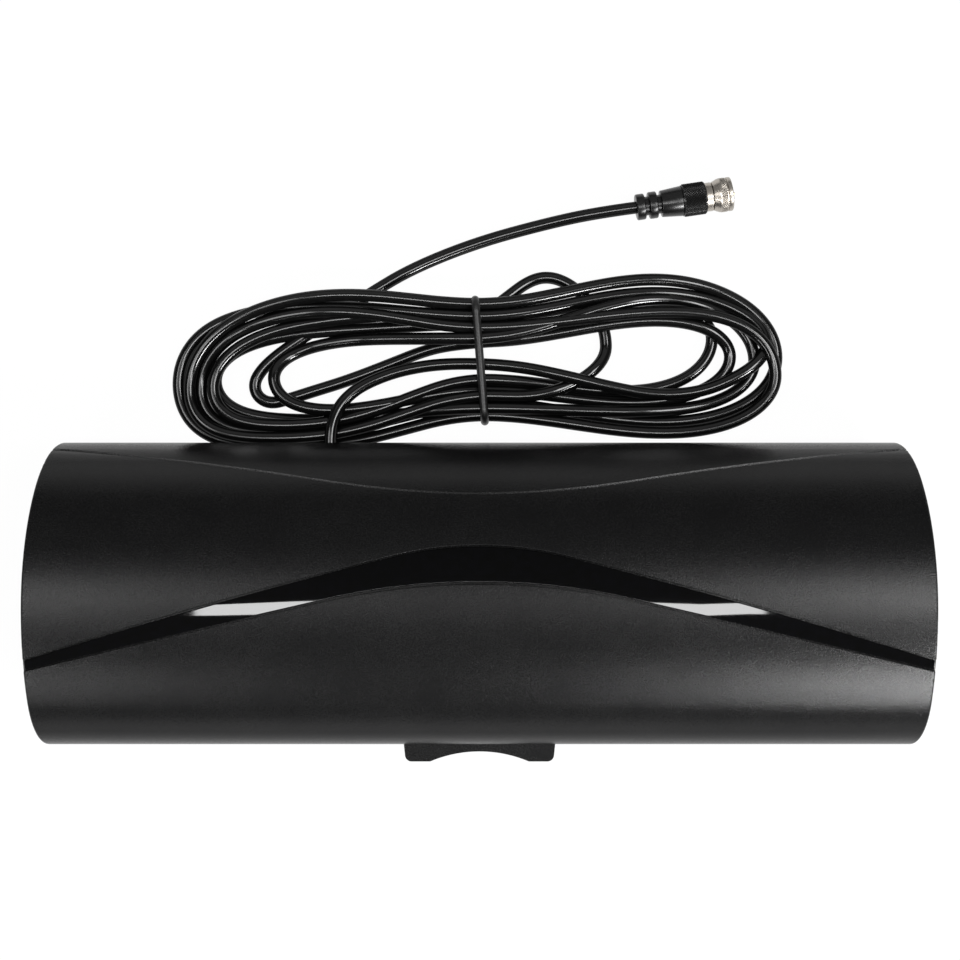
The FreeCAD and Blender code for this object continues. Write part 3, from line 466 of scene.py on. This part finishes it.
def add_node(tree, kind, **values):
    """A new node whose named sockets or properties have the given values."""
    node = tree.nodes.new(kind)
    for key, value in values.items():
        if hasattr(node, key):
            setattr(node, key, value)
        else:
            node.inputs[key.replace("_", " ")].default_value = value
    return node


def group_node(tree, group, **values):
    """A node that places a shared group, with its own values."""
    node = tree.nodes.new("ShaderNodeGroup")
    node.node_tree = group
    for key, value in values.items():
        node.inputs[key].default_value = value
    return node


print("node helpers ready")

# %% Node groups


def make_grain_group():
    """Fine moulded grain: a mask of raised specks and a normal."""
    group, ends_in, ends_out = new_group(
        "moulded_grain", [("Scale", 2000.0), ("Depth", 0.4)],
        [("Specks", "NodeSocketFloat"), ("Normal", "NodeSocketVector")])
    place = add_node(group, "ShaderNodeTexCoord")
    noise = add_node(group, "ShaderNodeTexNoise", Detail=2.0, Roughness=0.6)
    specks = add_node(group, "ShaderNodeMapRange", From_Min=0.35, From_Max=0.72)
    bump = add_node(group, "ShaderNodeBump", Distance=0.085 * MM)
    link = group.links.new
    link(place.outputs["Object"], noise.inputs["Vector"])
    link(ends_in.outputs["Scale"], noise.inputs["Scale"])
    link(noise.outputs["Fac"], specks.inputs["Value"])
    link(noise.outputs["Fac"], bump.inputs["Height"])
    link(ends_in.outputs["Depth"], bump.inputs["Strength"])
    link(specks.outputs["Result"], ends_out.inputs["Specks"])
    link(bump.outputs["Normal"], ends_out.inputs["Normal"])
    return group


def make_smudge_group():
    """Slow variation over a surface, from 0 to 1."""
    group, ends_in, ends_out = new_group(
        "smudge", [("Scale", 60.0)], [("Smudge", "NodeSocketFloat")])
    place = add_node(group, "ShaderNodeTexCoord")
    noise = add_node(group, "ShaderNodeTexNoise", Detail=4.0, Roughness=0.55)
    link = group.links.new
    link(place.outputs["Object"], noise.inputs["Vector"])
    link(ends_in.outputs["Scale"], noise.inputs["Scale"])
    link(noise.outputs["Fac"], ends_out.inputs["Smudge"])
    return group


grain_group = make_grain_group()
smudge_group = make_smudge_group()
print("node groups:", grain_group.name, smudge_group.name)

# %% [markdown]
# ## Finishes
# One recipe serves all the finishes: two colours mixed by specks and smudges, a range of roughness, and
# the grain as the normal. What is the same all over a surface, such as whether it is metal, sits on the
# shader itself. Grained black plastic and the jacket of the lead mirror less at flat angles than a smooth
# surface would, so for them the mirror fades towards the edges.

# %% Finish recipe


def finish(name, dark, light, rough, grain=2000.0, depth=0.4, smudge=60.0, edge_mirror=None, **plain):
    """A material that varies between two colours and two roughnesses, with a fine grain.

    With edge_mirror, the specular level fades to that value where the surface is seen at a flat angle.
    """
    material = bpy.data.materials.new(name)
    material.use_nodes = True
    tree = material.node_tree
    shader = tree.nodes["Principled BSDF"]
    for key, value in plain.items():
        shader.inputs[key.replace("_", " ")].default_value = value
    grains = group_node(tree, grain_group, Scale=grain, Depth=depth)
    smudges = group_node(tree, smudge_group, Scale=smudge)
    both = add_node(tree, "ShaderNodeMath", operation="MULTIPLY")
    tint = add_node(tree, "ShaderNodeMix", data_type="RGBA")
    tint.inputs["A"].default_value = (*dark, 1)
    tint.inputs["B"].default_value = (*light, 1)
    spread = add_node(tree, "ShaderNodeMapRange", To_Min=rough[0], To_Max=rough[1])
    link = tree.links.new
    link(grains.outputs["Specks"], both.inputs[0])
    link(smudges.outputs["Smudge"], both.inputs[1])
    link(both.outputs["Value"], tint.inputs["Factor"])
    link(tint.outputs["Result"], shader.inputs["Base Color"])
    link(smudges.outputs["Smudge"], spread.inputs["Value"])
    link(spread.outputs["Result"], shader.inputs["Roughness"])
    link(grains.outputs["Normal"], shader.inputs["Normal"])
    if edge_mirror is not None:
        angle = add_node(tree, "ShaderNodeLayerWeight", Blend=0.5)
        fade = add_node(tree, "ShaderNodeMapRange", From_Min=0.15, From_Max=0.5)
        fade.inputs["To Min"].default_value = shader.inputs["Specular IOR Level"].default_value
        fade.inputs["To Max"].default_value = edge_mirror
        link(angle.outputs["Facing"], fade.inputs["Value"])
        link(fade.outputs["Result"], shader.inputs["Specular IOR Level"])
    return material


print("finish recipe ready")

# %% The finishes
FINISHES = {
    "housing_black": finish(
        "grained_housing", (0.005, 0.005, 0.0052), (0.016, 0.016, 0.016), (0.21, 0.26),
        grain=2400.0, depth=1.0, edge_mirror=0.05, Specular_IOR_Level=0.28),
    "trim_gloss_black": finish(
        "gloss_trim", (0.002, 0.002, 0.002), (0.003, 0.003, 0.004), (0.02, 0.05),
        grain=400.0, depth=0.002, Specular_IOR_Level=0.5),
    "cord_black": finish(
        "cord_jacket", (0.002, 0.002, 0.002), (0.005, 0.005, 0.005), (0.12, 0.18),
        grain=900.0, depth=0.02, edge_mirror=0.06, Specular_IOR_Level=0.5),
    "tie_black": finish(
        "tie_jacket", (0.004, 0.004, 0.004), (0.010, 0.010, 0.010), (0.34, 0.46),
        grain=900.0, depth=0.1),
    "boot_black": finish(
        "boot_moulding", (0.002, 0.002, 0.002), (0.007, 0.007, 0.007), (0.24, 0.32),
        grain=1200.0, depth=0.06, Specular_IOR_Level=0.4),
    "plug_nickel": finish(
        "nickel_plate", (0.40, 0.37, 0.33), (0.52, 0.48, 0.43), (0.26, 0.38),
        grain=1500.0, depth=0.05, Metallic=1.0),
    "insulator_white": finish(
        "white_insulator", (0.70, 0.70, 0.68), (0.80, 0.80, 0.78), (0.4, 0.5),
        grain=1500.0, depth=0.1),
    "contact_brass": finish(
        "brass_contact", (0.55, 0.40, 0.16), (0.68, 0.52, 0.24), (0.25, 0.4),
        grain=1500.0, depth=0.1, Metallic=1.0),
    "blade_aluminium": finish(
        "aluminium_blade", (0.62, 0.62, 0.63), (0.75, 0.75, 0.76), (0.3, 0.45),
        grain=800.0, depth=0.1, Metallic=1.0),
    "board_green": finish(
        "board_lacquer", (0.01, 0.09, 0.04), (0.02, 0.15, 0.07), (0.25, 0.4),
        grain=900.0, depth=0.15),
    "ferrite_grey": finish(
        "ferrite_block", (0.03, 0.03, 0.033), (0.07, 0.07, 0.075), (0.6, 0.75),
        grain=1600.0, depth=0.4),
    "inner_black": finish(
        "inner_moulding", (0.010, 0.010, 0.010), (0.025, 0.025, 0.025), (0.5, 0.6),
        grain=1600.0, depth=0.3),
    "screw_steel": finish(
        "screw_plating", (0.35, 0.35, 0.36), (0.5, 0.5, 0.5), (0.28, 0.42),
        grain=1200.0, depth=0.15, Metallic=1.0),
}
print("finishes:", ", ".join(FINISHES))

# %% [markdown]
# ## Which finish goes where
# Every piece has one finish, by what it is made of. The inner pieces are dressed as carefully as the outer
# ones, because the housing may be opened. The lead and the two knurled pieces stand in for CAD nodes and
# get the finish of the nodes that they replace.

# %% Finishes on the pieces
NODE_FINISH = {
    "housing_black": ["front_cover", "rear_shell", "foot"],
    "trim_gloss_black": ["gloss_trim"],
    "cord_black": ["cord_lead", "cord_hank", "cord_tail", "lead_in"],
    "tie_black": ["cord_tie"],
    "boot_black": ["plug_boot", "cable_bush"],
    "plug_nickel": ["plug_nut", "plug_body"],
    "insulator_white": ["plug_insulator"],
    "contact_brass": ["plug_pin", "terminal_rivets", "balun_winding"],
    "blade_aluminium": ["element_left", "element_right"],
    "board_green": ["matching_board"],
    "ferrite_grey": ["balun_core"],
    "inner_black": ["cable_clamp", "coax_clip"],
    "screw_steel": ["case_screws", "foot_screws", "element_screws", "board_screws", "clamp_screws"],
}


def dress(piece, slot):
    """Gives a piece the finish of one of the record's slots."""
    piece.data.materials.clear()
    piece.data.materials.append(FINISHES[slot])


for slot, names in NODE_FINISH.items():
    for name in names:
        dress(nodes[name], slot)
dress(lead, "cord_black")
dress(boot, "boot_black")
dress(nut, "plug_nickel")
print("dressed", sum(len(names) for names in NODE_FINISH.values()), "nodes, the lead and its plug")

# %% [markdown]
# ## Smooth shading on the moulded pieces
# The CAD mesh comes as one patch per face, and each patch carries its own normals, so a soft fillet can
# show a faint step where two patches meet. Three modifiers mend this without moving a vertex: Weld joins
# the patches, Edge Split keeps the true corners sharp, and Weighted Normal lets the large faces lead.

# %% Smooth shading
MEET = 0.001 * MM
TRUE_CORNER = 30.0

for name in ("front_cover", "rear_shell", "foot", "gloss_trim"):
    weld = nodes[name].modifiers.new("weld", "WELD")
    weld.merge_threshold = MEET
    split = nodes[name].modifiers.new("true_corners", "EDGE_SPLIT")
    split.use_edge_angle = True
    split.split_angle = math.radians(TRUE_CORNER)
    split.use_edge_sharp = False
    even = nodes[name].modifiers.new("even_normals", "WEIGHTED_NORMAL")
    even.keep_sharp = True
print("even shading on the housing, the foot and the trim")

# %% [markdown]
# ## The table
# The table is plain white. What the camera or a mirror sees of it is nearly all a steady glow that Light
# Path switches on, so its white doesn't hang on the lamps. The small rest is matte paint, which takes the
# soft shadow of the object. A brighter lamp would give a white table too, but it would wash out the object.

# %% Table
TABLE_SIDE = 30.0
TABLE_PAINT = (0.9, 0.9, 0.9, 1)
SEEN_WHITE = 0.965

bpy.ops.mesh.primitive_plane_add(size=TABLE_SIDE, location=(0, 0, 0))
table = bpy.context.object
table.name = "table"
paint = bpy.data.materials.new("white_table")
paint.use_nodes = True
tree = paint.node_tree
matte = tree.nodes["Principled BSDF"]
matte.inputs["Base Color"].default_value = TABLE_PAINT
matte.inputs["Roughness"].default_value = 0.8
matte.inputs["Specular IOR Level"].default_value = 0.0
path = add_node(tree, "ShaderNodeLightPath")
straight = add_node(tree, "ShaderNodeMath", operation="MAXIMUM")
through = add_node(tree, "ShaderNodeMath", operation="MAXIMUM")
share = add_node(tree, "ShaderNodeMath", operation="MULTIPLY")
share.inputs[1].default_value = SEEN_WHITE
glow = add_node(tree, "ShaderNodeEmission", Strength=1.0)
blend = add_node(tree, "ShaderNodeMixShader")
out = tree.nodes["Material Output"]
link = tree.links.new
link(path.outputs["Is Camera Ray"], straight.inputs[0])
link(path.outputs["Is Glossy Ray"], straight.inputs[1])
link(straight.outputs["Value"], through.inputs[0])
link(path.outputs["Is Transmission Ray"], through.inputs[1])
link(through.outputs["Value"], share.inputs[0])
link(share.outputs["Value"], blend.inputs["Fac"])
link(matte.outputs["BSDF"], blend.inputs[1])
link(glow.outputs["Emission"], blend.inputs[2])
link(blend.outputs["Shader"], out.inputs["Surface"])
table.data.materials.append(paint)
print("table", TABLE_SIDE, "m wide")

# %% [markdown]
# ## Lamps
# A studio lights a black product by what it mirrors. A narrow strip overhead draws the two bright dashes
# on the gloss trim and the fine lines on the lead. Soft boxes at both ends and in front shape the housing.
# A photographer keeps a lamp off a surface with a black flag, and light linking does that job here: each
# lamp names the pieces that its flag keeps dark.

# %% Lamps and world
HOUSING = ("front_cover", "rear_shell", "foot")
TRIM = ("gloss_trim",)
WORLD_LIGHT = 0.05

Lamp = namedtuple("Lamp", "name place aim size power flagged")
LAMPS = (
    Lamp("strip", (0.0, -0.10, 1.26), (0.0, 0.0, 0.06), (0.64, 0.14), 4.4, HOUSING),
    Lamp("overhead_right", (0.66, 0.06, 1.20), (0.1, 0.0, 0.06), (0.54, 0.34), 8.4, TRIM),
    Lamp("overhead_left", (-0.66, 0.06, 1.20), (-0.1, 0.0, 0.06), (0.54, 0.34), 4.0, TRIM),
    Lamp("overhead_middle", (0.0, 0.06, 1.26), (0.0, 0.0, 0.06), (0.84, 0.30), 1.2, TRIM),
    Lamp("front_right", (0.77, -0.80, 0.82), (0.1, -0.02, 0.05), (0.70, 0.14), 27.0, ()),
    Lamp("soft_back", (0.0, 1.10, 0.90), (0.0, 0.08, 0.0), (2.20, 1.30), 3.2, HOUSING + TRIM),
    Lamp("front_left", (-0.77, -0.80, 0.82), (-0.1, -0.02, 0.05), (0.66, 0.14), 4.4, ()),
)


def keep_off(light, names):
    """Keeps a lamp's light off some nodes, as a flag on a stand would."""
    if not names:
        return
    flags = bpy.data.collections.new(light.name + "_flags")
    for name in names:
        flags.objects.link(nodes[name])
    light.light_linking.receiver_collection = flags
    for item in flags.collection_objects:
        item.light_linking.link_state = "EXCLUDE"


for lamp in LAMPS:
    bpy.ops.object.light_add(type="AREA", location=lamp.place)
    light = bpy.context.object
    light.name = lamp.name
    light.data.shape = "RECTANGLE"
    light.data.size, light.data.size_y = lamp.size
    light.data.energy = lamp.power
    light.rotation_euler = (Vector(lamp.aim) - light.location).to_track_quat("-Z", "Y").to_euler()
    keep_off(light, lamp.flagged)

world = bpy.data.worlds.new("studio")
bpy.context.scene.world = world
world.use_nodes = True
background = world.node_tree.nodes["Background"]
background.inputs["Color"].default_value = (1, 1, 1, 1)
background.inputs["Strength"].default_value = WORLD_LIGHT
bpy.context.scene.view_settings.view_transform = "Standard"
print("lamps:", ", ".join(lamp.name for lamp in LAMPS))
